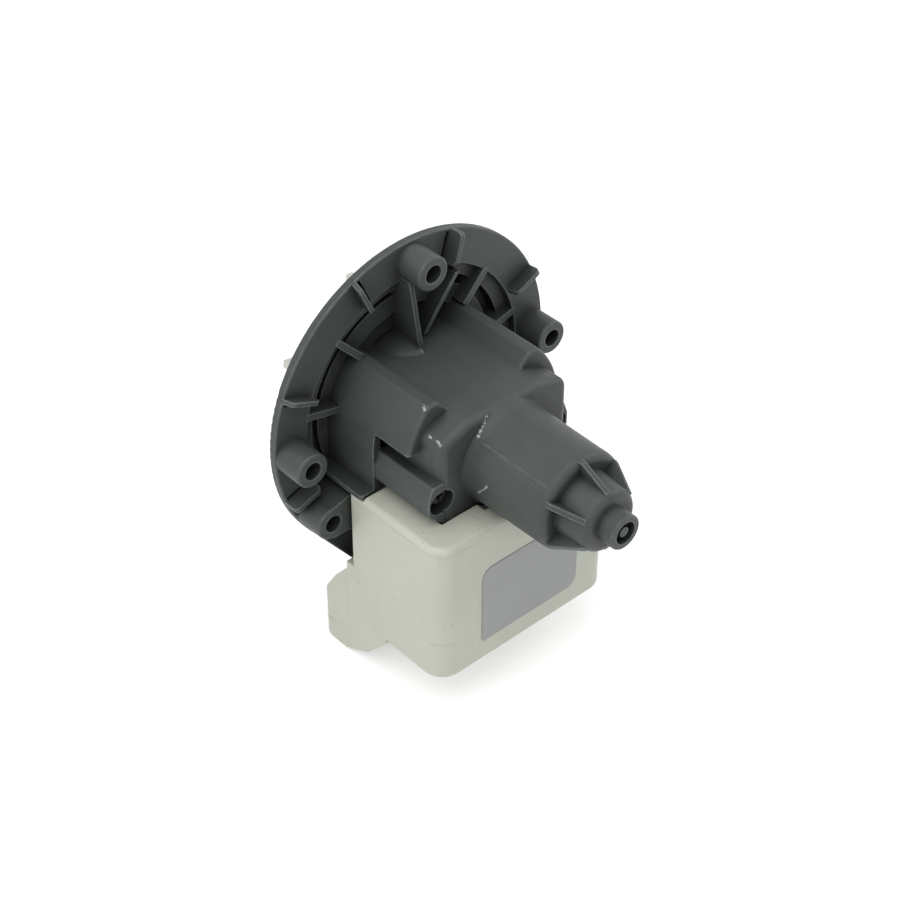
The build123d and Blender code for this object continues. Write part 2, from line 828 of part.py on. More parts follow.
def impeller():
    """Bladed wheel with a clutch chamber in its hub."""
    disc_front = impeller_back - impeller_disc_thickness
    body = turned((
        (impeller_back, shaft_radius + running_gap), (impeller_back, impeller_disc_radius),
        (disc_front, impeller_disc_radius), (disc_front, impeller_hub_radius),
        (impeller_hub_front, impeller_hub_radius), (impeller_hub_front, impeller_cavity_radius),
        (impeller_cavity_back, impeller_cavity_radius), (impeller_cavity_back, impeller_boss_radius),
        (impeller_boss_front, impeller_boss_radius), (impeller_boss_front, shaft_radius + running_gap)))
    centre = lug_centre()
    body += sector(lug_front, impeller_cavity_back + overrun, lug_inner_radius, impeller_cavity_radius + overrun,
                   centre - lug_angle * half_share, centre + lug_angle * half_share)
    half = impeller_blade_thickness * half_share
    inner = (impeller_hub_radius + impeller_cavity_radius) * half_share
    blade = side_prism(((impeller_back, inner), (impeller_back, impeller_disc_radius),
                        (disc_front, impeller_blade_radius), (impeller_blade_front, impeller_blade_radius),
                        (impeller_blade_front, impeller_hub_radius), (impeller_hub_front, impeller_hub_radius),
                        (impeller_hub_front, inner)), -half, half)
    tips = blade.edges().filter_by(Axis.Y).filter_by(
        lambda e: e.center().X < impeller_blade_front + body_gap)
    blade = fillet(tips, impeller_blade_tip_round)
    for index in range(impeller_blade_count):
        turn = impeller_blade_first_angle - right_angle + index * full_turn / impeller_blade_count
        body += at_angle(blade, turn)
    return body


def impeller_cap():
    """Domed cap that closes the clutch chamber and steadies the shaft end."""
    back = impeller_hub_front + cap_thickness
    face = turned((
        (impeller_hub_front, 0), (impeller_hub_front, impeller_cavity_radius),
        (back, impeller_cavity_radius), (back, cap_boss_radius), (back + cap_boss_depth, cap_boss_radius),
        (back + cap_boss_depth, shaft_radius + running_gap),
        (back + cap_boss_depth - cap_bore_depth, shaft_radius + running_gap),
        (back + cap_boss_depth - cap_bore_depth, 0)))
    dome_radius = (cap_dome_radius ** 2 + cap_dome_height ** 2) / (cap_dome_height + cap_dome_height)
    centre = impeller_hub_front - cap_dome_height + dome_radius
    ball = Pos(centre, 0, 0) * Sphere(dome_radius)
    dome = ball & rod(impeller_hub_front - cap_dome_height - overrun, impeller_hub_front, cap_dome_radius)
    return face + dome


def stator_core():
    """U-shaped lamination stack with a round bore between its legs."""
    yoke_top = core_bottom + core_yoke_height
    outline = ((-core_outer, core_bottom), (core_outer, core_bottom), (core_outer, core_top),
               (core_inner, core_top), (core_inner, yoke_top), (-core_inner, yoke_top),
               (-core_inner, core_top), (-core_outer, core_top))
    body = prism(outline, core_start, core_start + core_thickness)
    outer = body.edges().filter_by(Axis.X).filter_by(
        lambda e: abs(e.center().Y) > core_outer - body_gap and e.center().Z > 0)
    body = fillet(outer, core_corner_round)
    body -= rod(core_start - overrun, core_start + core_thickness + overrun, tube_root_radius + core_bore_gap)
    notch = rod(core_start - overrun, core_start + core_thickness + overrun, core_notch_radius,
                -screw_offset, screw_level)
    body = body - notch - mirrored(notch)
    for side in (-1, 1):
        body += rod(core_start - rivet_head, core_start + core_thickness + rivet_head, rivet_radius,
                    side * rivet_offset, rivet_level)
    return body


def core_screws():
    """Two cross-slotted screws that key the core legs into the saddle block."""
    seat = block_end - tunnel_depth
    top = seat + screw_head_height
    screw = rod(screw_tip, seat, screw_shank_radius, -screw_offset, screw_level)
    screw = chamfer(edges_at_x(screw, screw_tip), shaft_chamfer)
    head = rod(seat, top, screw_head_radius, -screw_offset, screw_level)
    head = fillet(edges_at_x(head, top), shaft_chamfer)
    bar = block((top - screw_slot_depth, top + overrun),
                (-screw_offset - screw_slot_radius, -screw_offset + screw_slot_radius),
                (screw_level - shaft_chamfer, screw_level + shaft_chamfer))
    cross = block((top - screw_slot_depth, top + overrun),
                  (-screw_offset - shaft_chamfer, -screw_offset + shaft_chamfer),
                  (screw_level - screw_slot_radius, screw_level + screw_slot_radius))
    screw = screw + head - bar - cross
    return Compound([screw, mirrored(screw)])


def coil_limits(reach):
    """X and Y limits around one core leg, widened by a reach."""
    return ((core_start - reach, core_start + core_thickness + reach),
            (-core_outer - reach, -core_inner + reach))


def bobbin():
    """Flanged former on the left leg of the core."""
    x_wall, y_wall = coil_limits(bobbin_wall + bobbin_leg_gap)
    x_flange, y_flange = coil_limits(bobbin_flange_reach)
    x_hole, y_hole = coil_limits(bobbin_leg_gap)
    tube_part = block(x_wall, y_wall, (bobbin_bottom, bobbin_top))
    low = block(x_flange, y_flange, (bobbin_bottom, bobbin_bottom + bobbin_flange_thickness))
    high = block(x_flange, y_flange, (bobbin_top - bobbin_flange_thickness, bobbin_top))
    hole = block(x_hole, y_hole, (bobbin_bottom - overrun, bobbin_top + overrun))
    return tube_part + low + high - hole


def winding():
    """Copper winding on the left former."""
    x_wall, y_wall = coil_limits(bobbin_wall + bobbin_leg_gap)
    x_out, y_out = coil_limits(winding_depth)
    levels = (bobbin_bottom + bobbin_flange_thickness, bobbin_top - bobbin_flange_thickness)
    body = block(x_out, y_out, levels)
    body = fillet(body.edges().filter_by(Axis.Z), winding_round)
    return body - block(x_wall, y_wall, (bobbin_bottom, bobbin_top))


def thermal_cutout():
    """Flat cut-out resting on the tail side of the left winding."""
    start = core_start + core_thickness + winding_depth
    middle = -(core_outer + core_inner) * half_share
    body = block((start, start + cutout_thickness),
                 (middle - cutout_width * half_share, middle + cutout_width * half_share),
                 (cutout_level - cutout_length * half_share, cutout_level + cutout_length * half_share))
    return fillet(body.edges().filter_by(Axis.Z), cutout_round)


def cover_shell(top):
    """Outer body of the coil cover with a fuller corner at its foot."""
    x_mid = (cover_front + cover_back) * half_share
    length = cover_back - cover_front
    width = cover_half_width + cover_half_width
    shape = None
    stages = ((cover_bottom, cover_foot_level, cover_foot_corner_round), (cover_foot_level, top, cover_corner_round))
    for low, high, radius in stages:
        stage = Pos(x_mid, 0, (low + high) * half_share) * Box(length, width, high - low)
        back = stage.edges().filter_by(Axis.Z).filter_by(lambda e: e.center().X > x_mid)
        stage = fillet(back, radius)
        front = stage.edges().filter_by(Axis.Z).filter_by(lambda e: e.center().X < cover_front + body_gap)
        stage = fillet(front, cover_front_corner_round)
        shape = stage if shape is None else shape + stage
    return shape


def shroud():
    """Connector shroud that grows out of the front lower corner of the cover."""
    return side_prism(shroud_profile, -cover_half_width, shroud_inner_side)


def coil_cover():
    """Deep tray around the coils with the connector shroud."""
    seam = cover_top - lid_thickness
    outer = cover_shell(seam)
    bottom = outer.edges().filter_by_position(Axis.Z, cover_bottom - body_gap, cover_bottom + body_gap)
    outer = fillet(bottom.filter_by(lambda e: e.center().X > cover_front + body_gap), cover_bottom_round)
    x_limits = (cover_front + cover_wall, cover_back - cover_wall)
    inner = block(x_limits, (-cover_half_width + cover_wall, cover_half_width - cover_wall),
                  (core_bottom, seam + overrun))
    inner = fillet(inner.edges().filter_by(Axis.Z).filter_by(
        lambda e: e.center().X > x_limits[1] - body_gap), cover_corner_round - cover_wall)
    shape = outer + shroud() - inner
    shape -= tube_saddle()
    mouth = block((shroud_mouth - overrun, shroud_mouth + socket_depth),
                  (-cover_half_width + shroud_wall, shroud_inner_side - shroud_wall), (socket_bottom, socket_top))
    shape -= mouth
    for offset in terminal_offsets:
        shape -= terminal(offset)
    return shape


def cover_lid():
    """Lid of the coil cover with an opening for the saddle block."""
    seam = cover_top - lid_thickness
    body = cover_shell(cover_top)
    body = fillet(body.edges().filter_by_position(Axis.Z, cover_top - body_gap, cover_top + body_gap), lid_edge_round)
    body &= block((cover_front - overrun, cover_back + overrun),
                  (-cover_half_width - overrun, cover_half_width + overrun), (seam, cover_top + overrun))
    rim_x = (arch_end + lid_opening_gap, cover_back - cover_wall - slide_gap)
    rim_y = cover_half_width - cover_wall - slide_gap
    rim = block(rim_x, (-rim_y, rim_y), (seam - lid_rim_height, seam))
    rim = fillet(rim.edges().filter_by(Axis.Z).filter_by(
        lambda e: e.center().X > rim_x[1] - body_gap), cover_corner_round - cover_wall)
    hollow_y = rim_y - lid_rim_width
    rim -= block((arch_end - overrun, rim_x[1] - lid_rim_width), (-hollow_y, hollow_y),
                 (seam - lid_rim_height - overrun, seam + overrun))
    body += rim
    opening = block((cover_front - overrun, block_end + lid_opening_gap),
                    (-block_half_width - lid_opening_gap, block_half_width + lid_opening_gap),
                    (seam - lid_rim_height - overrun, cover_top + overrun))
    notch = block((cover_front - overrun, arch_end + lid_opening_gap),
                  (-cover_half_width - overrun, cover_half_width + overrun), (cover_sill_level, cover_top + overrun))
    return body - opening - notch - tube_saddle()


def tube_saddle():
    """Round clearance under the rotor tube."""
    flare_end = block_end - block_edge_round + tube_flare_length
    root = rod(cover_front - overrun, flare_end, tube_root_radius + lid_opening_gap)
    return root + rod(flare_end - overrun, cover_back + overrun, tube_radius + lid_opening_gap)


def terminal(offset):
    """Blade terminal with a leg up to the winding."""
    half = terminal_thickness * half_share
    low = terminal_level - terminal_width * half_share
    high = terminal_level + terminal_width * half_share
    leg_front = terminal_back - terminal_leg_width
    blade = side_prism(((terminal_front + terminal_tip_chamfer, low), (terminal_back, low),
                        (terminal_back, bobbin_bottom), (leg_front, bobbin_bottom), (leg_front, high),
                        (terminal_front + terminal_tip_chamfer, high), (terminal_front, high - terminal_tip_chamfer),
                        (terminal_front, low + terminal_tip_chamfer)), offset - half, offset + half)
    hole = Pos(terminal_front + terminal_hole_setback, offset, terminal_level) * Rot(right_angle, 0, 0) * Cylinder(
        terminal_hole_radius, terminal_thickness + overrun)
    return blade - hole


def rating_plate():
    """Thin bare plate on the tail side of the coil cover."""
    plate = block((cover_back, cover_back + label_thickness), (label_left, label_right), (label_bottom, label_top))
    corners = plate.edges().filter_by(Axis.X)
    small = corners.filter_by(lambda e: e.center().Y < 0 and e.center().Z < cover_foot_level)
    plate = fillet(small, label_small_round)
    large = plate.edges().filter_by(Axis.X).filter_by(
        lambda e: e.center().Z > cover_foot_level or e.center().Y > 0)
    return fillet(large, label_round)


def build_all():
    """Every node with its finished shape."""
    left_bobbin = bobbin()
    left_winding = winding()
    return {
        "pump_housing": pump_housing(),
        "flange_seal": flange_seal(),
        "bearing_shield": bearing_shield(),
        "shield_seal": ring_seal(shield_ring_groove_start + shield_ring_groove_width * half_share,
                                 tube_bore_radius - shield_ring_section, shield_ring_section),
        "shaft_seal": shaft_seal(),
        "front_bush": bush(front_bush_start, front_bush_end, front_bush_radius),
        "front_washer": washer(front_bush_end),
        "rear_bush": bush(rear_bush_start, rear_bush_end, rear_bush_radius),
        "rear_bush_mount": rear_bush_mount(),
        "rear_washer": washer(rear_bush_start - washer_thickness),
        "shaft": shaft(),
        "magnet": magnet(),
        "magnet_sleeve": magnet_sleeve(),
        "drive_dog": drive_dog(),
        "impeller": impeller(),
        "impeller_bumper": impeller_bumper(),
        "impeller_cap": impeller_cap(),
        "stator_core": stator_core(),
        "core_screws": core_screws(),
        "bobbin_left": left_bobbin,
        "bobbin_right": mirrored(left_bobbin),
        "winding_left": left_winding,
        "winding_right": mirrored(left_winding),
        "thermal_cutout": thermal_cutout(),
        "coil_cover": coil_cover(),
        "cover_lid": cover_lid(),
        "terminal_inner": terminal(terminal_offsets[0]),
        "terminal_outer": terminal(terminal_offsets[1]),
        "rating_plate": rating_plate(),
    }


os.makedirs("parts", exist_ok=True)
for name, shape in build_all().items():
    export_step(Pos(flange_thickness, 0, 0) * shape, "parts/" + name + ".step")
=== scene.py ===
"""Finishes, wound coils, light and camera for a washer drain pump."""

import math

import bmesh
import bpy
import numpy as np
from bpy.props import FloatProperty, FloatVectorProperty, IntProperty, PointerProperty
from bpy.types import Operator, Panel, PropertyGroup
from mathutils import Matrix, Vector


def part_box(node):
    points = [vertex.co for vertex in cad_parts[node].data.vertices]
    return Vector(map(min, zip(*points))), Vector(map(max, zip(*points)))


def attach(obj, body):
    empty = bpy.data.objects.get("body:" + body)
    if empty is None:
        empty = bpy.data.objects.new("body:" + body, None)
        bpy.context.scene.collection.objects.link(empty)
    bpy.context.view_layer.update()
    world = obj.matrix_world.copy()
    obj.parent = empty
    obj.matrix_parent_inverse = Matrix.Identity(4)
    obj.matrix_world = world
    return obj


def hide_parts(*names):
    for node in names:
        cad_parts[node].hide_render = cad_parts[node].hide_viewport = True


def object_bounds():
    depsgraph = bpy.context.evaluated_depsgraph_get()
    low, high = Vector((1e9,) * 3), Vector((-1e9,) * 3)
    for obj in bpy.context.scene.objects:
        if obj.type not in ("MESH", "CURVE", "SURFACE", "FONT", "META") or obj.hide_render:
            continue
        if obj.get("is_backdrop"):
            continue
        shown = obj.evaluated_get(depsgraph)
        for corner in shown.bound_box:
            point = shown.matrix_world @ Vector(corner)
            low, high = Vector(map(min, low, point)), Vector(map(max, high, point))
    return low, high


bl_info = {
    "name": "Washer drain pump",
    "version": (1, 0, 0),
    "blender": (4, 5, 0),
    "location": "3D View > Sidebar > Drain pump",
    "description": "Dresses a washer drain pump and sets up its light and camera",
    "category": "Object",
}

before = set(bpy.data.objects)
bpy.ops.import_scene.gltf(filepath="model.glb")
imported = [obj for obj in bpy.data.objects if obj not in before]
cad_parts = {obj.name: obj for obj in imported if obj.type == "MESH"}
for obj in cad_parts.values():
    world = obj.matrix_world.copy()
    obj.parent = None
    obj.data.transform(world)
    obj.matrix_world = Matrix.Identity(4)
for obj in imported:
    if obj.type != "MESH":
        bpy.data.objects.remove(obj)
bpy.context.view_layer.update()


# Settings

def colour_property(name, description, default):
    """Colour of a finish, as a swatch."""
    return FloatVectorProperty(name=name, description=description, default=default, size=3,
                               min=0.0, max=1.0, subtype="COLOR")


def length_property(name, description, default):
    """Length in metres."""
    return FloatProperty(name=name, description=description, default=default, min=0.0,
                         precision=5, subtype="DISTANCE", unit="LENGTH")


def angle_property(name, description, degrees):
    """Angle, given in degrees and kept in radians."""
    return FloatProperty(name=name, description=description, default=math.radians(degrees),
                         subtype="ANGLE", unit="ROTATION")


def power_property(name, description, default):
    """Power of a lamp in watts."""
    return FloatProperty(name=name, description=description, default=default, min=0.0,
                         subtype="POWER", unit="POWER")


class PumpFinishes(PropertyGroup):
    """Colours of the moulded, metal and rubber parts, and how worn they are."""
    housing: colour_property("Housing", "Moulded pump housing", (0.0535, 0.0605, 0.0575))
    shield: colour_property("Bearing shield", "Shield behind the impeller", (0.034, 0.038, 0.037))
    cover: colour_property("Coil cover", "Off-white moulded cover", (0.522, 0.543, 0.459))
    plate: colour_property("Plate", "Satin foil plate", (0.292, 0.297, 0.299))
    rubber: colour_property("Rubber", "Seals and mounts", (0.018, 0.018, 0.018))
    impeller: colour_property("Impeller", "Impeller and its cap", (0.62, 0.62, 0.57))
    rotor: colour_property("Rotor", "Magnet sleeve and drive dog", (0.50, 0.48, 0.40))
    copper: colour_property("Copper", "Enamelled winding wire", (0.46, 0.155, 0.048))
    edge_round: length_property("Edge round", "Softness of the moulded edges", 0.00045)
    # Also scales the painted edge highlights on the housing and the cover.
    wear_and_sheen: FloatProperty(name="Wear", description="How much the edges and corners are rubbed",
                        default=1.0, min=0.0, max=2.0, subtype="FACTOR")


class PumpCoils(PropertyGroup):
    """Wire and layering of the two windings."""
    turns: IntProperty(name="Turns", description="Turns in the outer layer", default=54,
                       min=10, max=80)
    wall: length_property("Wall", "Thickness of the wound layers", 0.00315)
    corner: length_property("Corner", "Radius of the outer layer at the corners", 0.0018)
    relief: length_property("Relief", "How far one turn stands above the next groove", 0.00014)


class PumpStage(PropertyGroup):
    """Camera, lamps and floor."""
    target: FloatVectorProperty(name="Target", description="Point in the middle of the picture",
                                default=(0.017176, -0.000381, -0.012069), size=3,
                                subtype="TRANSLATION")
    azimuth: angle_property("Azimuth", "Turn of the camera about the upright", 48.263)
    elevation: angle_property("Elevation", "Height of the camera over the floor", 38.846)
    roll: angle_property("Roll", "Turn of the camera about its own line of sight", -0.07)
    distance: length_property("Distance", "From the camera to the target", 0.53526)
    lens: FloatProperty(name="Focal length", description="Focal length on a 36 mm sensor",
                        default=80.3, min=10.0, subtype="DISTANCE_CAMERA", unit="CAMERA")
    key: power_property("Key lamp", "Power of the large soft lamp high on the left", 2.1)
    fill: power_property("Fill lamp", "Power of the lamp at the tail end", 0.3)
    top: power_property("Top lamp", "Power of the lamp overhead", 2.7)
    back: power_property("Back lamp", "Power of the lamp behind on the right", 1.2)
    sky: FloatProperty(name="Room light", description="Even light from all round",
                       default=0.52, min=0.0)
    floor: colour_property("Floor", "Pale floor under the pump", (0.82, 0.82, 0.82))


# Building blocks of the finishes

EDGE_SAMPLES = 6
NOISE_SPAN = (0.3, 0.7)
# Reach of the mask for rubbed edges and painted edge highlights, in edge rounds
RUB_AND_HIGHLIGHT_REACH = 2.2
HOLLOW_REACH = 0.010
GRAIN_SIZE = 0.00035
GRAIN_DEPTH = 0.000010
METAL_EDGE = 0.00015
NICK_COLOUR = (0.52, 0.55, 0.52)
# Lighter cream of the cover's painted edge highlight
CREAM_EDGE_HIGHLIGHT = (0.64, 0.65, 0.55)
DRIP_COLOUR = (0.44, 0.43, 0.31)
SPECK_COLOUR = (0.26, 0.25, 0.20)
HAIR_COLOUR = (0.30, 0.30, 0.24)
SHEET_COLOUR = (0.20, 0.20, 0.205)
RUST_COLOUR = (0.16, 0.075, 0.035)
VARNISH_COLOUR = (0.26, 0.10, 0.02)


def add(tree, kind, inputs=None, **settings):
    """New node with its settings, its inputs filled by values or by links from other sockets."""
    made = tree.nodes.new(kind)
    for key, value in settings.items():
        setattr(made, key, value)
    for key, value in (inputs or {}).items():
        if isinstance(value, bpy.types.NodeSocket):
            tree.links.new(value, made.inputs[key])
        else:
            made.inputs[key].default_value = value
    return made


def math_node(tree, operation, first, second=0.0):
    """Arithmetic on two values."""
    return add(tree, "ShaderNodeMath", {0: first, 1: second}, operation=operation).outputs[0]


def vector_node(tree, operation, inputs, output=0):
    """Arithmetic on vectors."""
    return add(tree, "ShaderNodeVectorMath", inputs, operation=operation).outputs[output]


def times(tree, first, second):
    """Product of two values."""
    return math_node(tree, "MULTIPLY", first, second)


def window(tree, value, low, high, start=0.0, end=1.0):
    """Value carried from low…high to start…end and held there outside that range."""
    inputs = {"Value": value, "From Min": low, "From Max": high, "To Min": start, "To Max": end}
    return add(tree, "ShaderNodeMapRange", inputs).outputs[0]


def object_place(tree, stretch=(1.0, 1.0, 1.0), turn=(0.0, 0.0, 0.0)):
    """Object coordinates in metres, stretched and turned."""
    where = add(tree, "ShaderNodeTexCoord").outputs["Object"]
    inputs = {"Vector": where, "Scale": stretch, "Rotation": turn}
    return add(tree, "ShaderNodeMapping", inputs).outputs[0]


def cloud(tree, size, detail=2.0, rough=0.5, place=None):
    """Smooth noise with features of the given size in metres."""
    inputs = {"Vector": place or object_place(tree), "Scale": 1.0 / size,
              "Detail": detail, "Roughness": rough}
    return add(tree, "ShaderNodeTexNoise", inputs).outputs["Fac"]


def spread(tree, noise, start=0.0, end=1.0):
    """Smooth noise, most of which lies inside its usual span, stretched over start…end."""
    return window(tree, noise, *NOISE_SPAN, start, end)


def patches(tree, size, low, high, detail=2.0, rough=0.5, place=None):
    """Zero where smooth noise is under its low level, one where it is over its high level."""
    return window(tree, cloud(tree, size, detail, rough, place), low, high)


def tint(colour, share):
    """Colour made lighter or darker by a share."""
    return tuple(min(1.0, part * share) for part in colour)


def blend_colour(tree, share, first, second):
    """First colour turned towards the second by a share."""
    made = add(tree, "ShaderNodeMix", {"Factor": share}, data_type="RGBA", blend_type="MIX")
    for socket, value in ((made.inputs[6], first), (made.inputs[7], second)):
        if isinstance(value, bpy.types.NodeSocket):
            tree.links.new(value, socket)
        else:
            socket.default_value = (*value[:3], 1.0)
    return made.outputs[2]


def stain(tree, base, mask, strength, colour):
    """Base turned towards a colour by the mask times a strength."""
    return blend_colour(tree, times(tree, mask, strength), base, colour)


def rounded_normal(tree, radius):
    """Normal as if the edges were rounded by the radius."""
    return add(tree, "ShaderNodeBevel", {"Radius": radius}, samples=EDGE_SAMPLES).outputs[0]


def edge_mask(tree, radius, low=0.0, high=0.25):
    """One along edges, zero on flat faces: how far a rounded normal leans from the true one."""
    true = add(tree, "ShaderNodeNewGeometry").outputs["Normal"]
    lean = vector_node(tree, "DOT_PRODUCT", {0: rounded_normal(tree, radius), 1: true}, "Value")
    return window(tree, math_node(tree, "SUBTRACT", 1.0, lean), low, high)


def convex_mask(tree, reach, low=0.10, high=0.34):
    """One along outward edges only: the share of the solid below that is cut off within reach."""
    solid = add(tree, "ShaderNodeAmbientOcclusion", {"Distance": reach}, samples=EDGE_SAMPLES,
                inside=True, only_local=True)
    return window(tree, math_node(tree, "SUBTRACT", 1.0, solid.outputs["AO"]), low, high)


def open_share(tree, reach, low=0.15, high=0.82):
    """One on open faces, falling towards zero in holes and grooves narrower than the reach."""
    space = add(tree, "ShaderNodeAmbientOcclusion", {"Distance": reach}, samples=EDGE_SAMPLES)
    return window(tree, space.outputs["AO"], low, high)


def scratch_mask(tree, scratches):
    """One along short straight scratches, fading to zero at their radius.

    The nearest point of a scratch is its start plus the run times the share of the run that the
    place lies along it, held between zero and one.
    """
    place = add(tree, "ShaderNodeTexCoord").outputs["Object"]
    total = None
    for start, end, radius in scratches:
        run = np.subtract(end, start)
        away = vector_node(tree, "SUBTRACT", {0: place, 1: start})
        along = vector_node(tree, "DOT_PRODUCT", {0: away, 1: tuple(run / (run @ run))}, "Value")
        share = window(tree, along, 0.0, 1.0)
        nearest = vector_node(tree, "SCALE", {0: tuple(run), "Scale": share})
        gap = vector_node(tree, "DISTANCE", {0: away, 1: nearest}, "Value")
        near = window(tree, gap, 0.0, radius, 1.0, 0.0)
        total = near if total is None else math_node(tree, "MAXIMUM", total, near)
    return total


def finish(name, plain):
    """New material with plain values on its shader, returned with its node tree and shader."""
    material = bpy.data.materials.new(name)
    material.use_nodes = True
    tree = material.node_tree
    shader = tree.nodes["Principled BSDF"]
    for key, value in plain.items():
        shader.inputs[key].default_value = (*value, 1.0) if key == "Base Color" else value
    return material, tree, shader


def paint(tree, shader, base, rough):
    """Patterns of colour and roughness on the shader."""
    tree.links.new(base, shader.inputs["Base Color"])
    tree.links.new(rough, shader.inputs["Roughness"])


def relief(tree, shader, height, distance, radius=0.0):
    """Fine relief of a height pattern over softened edges."""
    inputs = {"Height": height, "Distance": distance, "Strength": 1.0}
    if radius:
        inputs["Normal"] = rounded_normal(tree, radius)
    tree.links.new(add(tree, "ShaderNodeBump", inputs).outputs[0], shader.inputs["Normal"])


# Finishes

def moulded(name, colour, radius, wear_and_sheen, rough=(0.40, 0.52), scratches=()):
    """Moulded plastic: cloudy colour, fine grain, rubbed edges with a painted edge highlight,
    painted shade in hollows and bright nicks.
    """
    material, tree, shader = finish(name, {"Base Color": colour})
    broad = spread(tree, cloud(tree, 0.018, detail=3.0, rough=0.55))
    base = blend_colour(tree, broad, tint(colour, 0.92), tint(colour, 1.08))
    drawn = object_place(tree, stretch=(0.25, 1.0, 1.0))
    streaks = patches(tree, 0.004, 0.45, 0.75, detail=4.0, rough=0.6, place=drawn)
    base = stain(tree, base, streaks, 0.35, tint(colour, 1.25))
    patchy = patches(tree, 0.0022, 0.30, 0.65, detail=3.0, rough=0.6)
    # Outward edges are painted lighter in patches: partly rubbed wear, partly a painted edge
    # highlight.
    outward = times(tree, convex_mask(tree, radius * RUB_AND_HIGHLIGHT_REACH),
                    edge_mask(tree, radius, high=0.008))
    rubbed_and_highlit = times(tree, outward, window(tree, patchy, 0.0, 1.0, 0.35, 1.0))
    base = stain(tree, base, rubbed_and_highlit, 0.90 * wear_and_sheen, tint(colour, 4.2))
    # Painted shade: holes and grooves are painted much darker and their gloss is cut, as shade
    # falls there.
    space = open_share(tree, HOLLOW_REACH)
    base = blend_colour(tree, space, tint(colour, 0.32), base)
    gloss = window(tree, space, 0.0, 1.0, 0.04, 0.32)
    tree.links.new(gloss, shader.inputs["Specular IOR Level"])
    dust = patches(tree, 0.0006, 0.745, 0.78, detail=1.0)
    base = stain(tree, base, dust, 0.25 * wear_and_sheen, tint(colour, 3.6))
    if scratches:
        flecks = patches(tree, 0.0005, 0.46, 0.56)
        nicks = times(tree, window(tree, scratch_mask(tree, scratches), 0.0, 0.6), flecks)
        base = stain(tree, base, nicks, 0.9 * wear_and_sheen, NICK_COLOUR)
    smear = cloud(tree, 0.006, detail=3.0, rough=0.6)
    paint(tree, shader, base, spread(tree, smear, *rough))
    relief(tree, shader, cloud(tree, GRAIN_SIZE, detail=3.0, rough=0.6), GRAIN_DEPTH, radius)
    return material


def cover_finish(settings):
    """Off-white moulded plastic: cream edges lightened as a painted highlight, clouds, drips, dark
    specks and hair scratches.
    """
    colour, radius, wear_and_sheen = tuple(settings.cover), settings.edge_round, settings.wear_and_sheen
    plain = {"Base Color": colour, "Specular IOR Level": 0.4}
    material, tree, shader = finish("cover_plastic", plain)
    broad = spread(tree, cloud(tree, 0.022, detail=3.0))
    base = blend_colour(tree, broad, tint(colour, 0.965), tint(colour, 1.03))
    # Painted highlight: the rounded edges are painted a lighter cream.
    base = stain(tree, base, edge_mask(tree, radius * 2.0), 0.28 * wear_and_sheen, CREAM_EDGE_HIGHLIGHT)
    upright = object_place(tree, stretch=(1.0, 1.0, 0.10))
    drips = patches(tree, 0.0035, 0.58, 0.78, detail=4.0, rough=0.6, place=upright)
    base = stain(tree, base, drips, 0.30 * wear_and_sheen, DRIP_COLOUR)
    specks = times(tree, patches(tree, 0.0010, 0.79, 0.83, detail=0.0),
                   patches(tree, 0.012, 0.52, 0.62, detail=1.0))
    base = stain(tree, base, specks, 0.45 * wear_and_sheen, SPECK_COLOUR)
    slanted = object_place(tree, stretch=(0.07, 1.0, 1.0), turn=(0.0, 0.65, 0.2))
    scratch = times(tree, patches(tree, 0.0011, 0.70, 0.74, detail=1.0, place=slanted),
                    patches(tree, 0.009, 0.54, 0.64, detail=1.0))
    base = stain(tree, base, scratch, 0.55 * wear_and_sheen, HAIR_COLOUR)
    paint(tree, shader, base, spread(tree, cloud(tree, 0.007, detail=3.0), 0.42, 0.52))
    grain = cloud(tree, 0.0004, detail=3.0, rough=0.6)
    scored = math_node(tree, "SUBTRACT", grain, times(tree, scratch, 0.6))
    relief(tree, shader, scored, 0.000014, radius)
    return material


def plate_finish(settings):
    """Bare satin foil with a soft sheen, faint bubbles and a fine vertical brush."""
    colour = tuple(settings.plate)
    plain = {"Base Color": colour, "Metallic": 0.20, "Specular IOR Level": 0.5}
    material, tree, shader = finish("plate_foil", plain)
    upright = object_place(tree, stretch=(1.0, 1.0, 0.05))
    brush = cloud(tree, 0.0006, detail=3.0, rough=0.6, place=upright)
    broad = spread(tree, cloud(tree, 0.02))
    base = blend_colour(tree, broad, tint(colour, 0.95), tint(colour, 1.05))
    base = stain(tree, base, window(tree, brush, 0.4, 0.7), 0.12, tint(colour, 1.3))
    paint(tree, shader, base, spread(tree, brush, 0.34, 0.46))
    bubbles = patches(tree, 0.0045, 0.66, 0.74, detail=1.0)
    relief(tree, shader, math_node(tree, "ADD", times(tree, brush, 0.2), bubbles), 0.00002)
    return material


def rubber_finish(settings):
    """Black rubber with a dusty bloom and a fine matt grain."""
    colour = tuple(settings.rubber)
    plain = {"Base Color": colour, "Specular IOR Level": 0.35}
    material, tree, shader = finish("seal_rubber", plain)
    bloom = patches(tree, 0.006, 0.45, 0.75, detail=4.0, rough=0.6)
    base = stain(tree, colour, bloom, 0.5, tint(colour, 2.6))
    paint(tree, shader, base, window(tree, bloom, 0.0, 1.0, 0.55, 0.75))
    grain = cloud(tree, 0.00025, detail=3.0)
    relief(tree, shader, grain, 0.00001, settings.edge_round * 0.6)
    return material


def metal_finish(name, colour, rough, stretch, brush_size=0.0004, tarnish=0.4):
    """Drawn or ground metal: brushed along one direction, with darker tarnish in patches."""
    material, tree, shader = finish(name, {"Base Color": colour, "Metallic": 1.0})
    brush = cloud(tree, brush_size, detail=3.0, rough=0.6, place=object_place(tree, stretch))
    dull = patches(tree, 0.005, 0.45, 0.8, detail=4.0, rough=0.6)
    base = blend_colour(tree, spread(tree, brush), tint(colour, 0.85), tint(colour, 1.12))
    base = stain(tree, base, dull, tarnish, tint(colour, 0.45))
    brushed = spread(tree, brush, rough - 0.06, rough + 0.06)
    paint(tree, shader, base, math_node(tree, "ADD", brushed, times(tree, dull, 0.12)))
    relief(tree, shader, brush, 0.000008, METAL_EDGE)
    return material


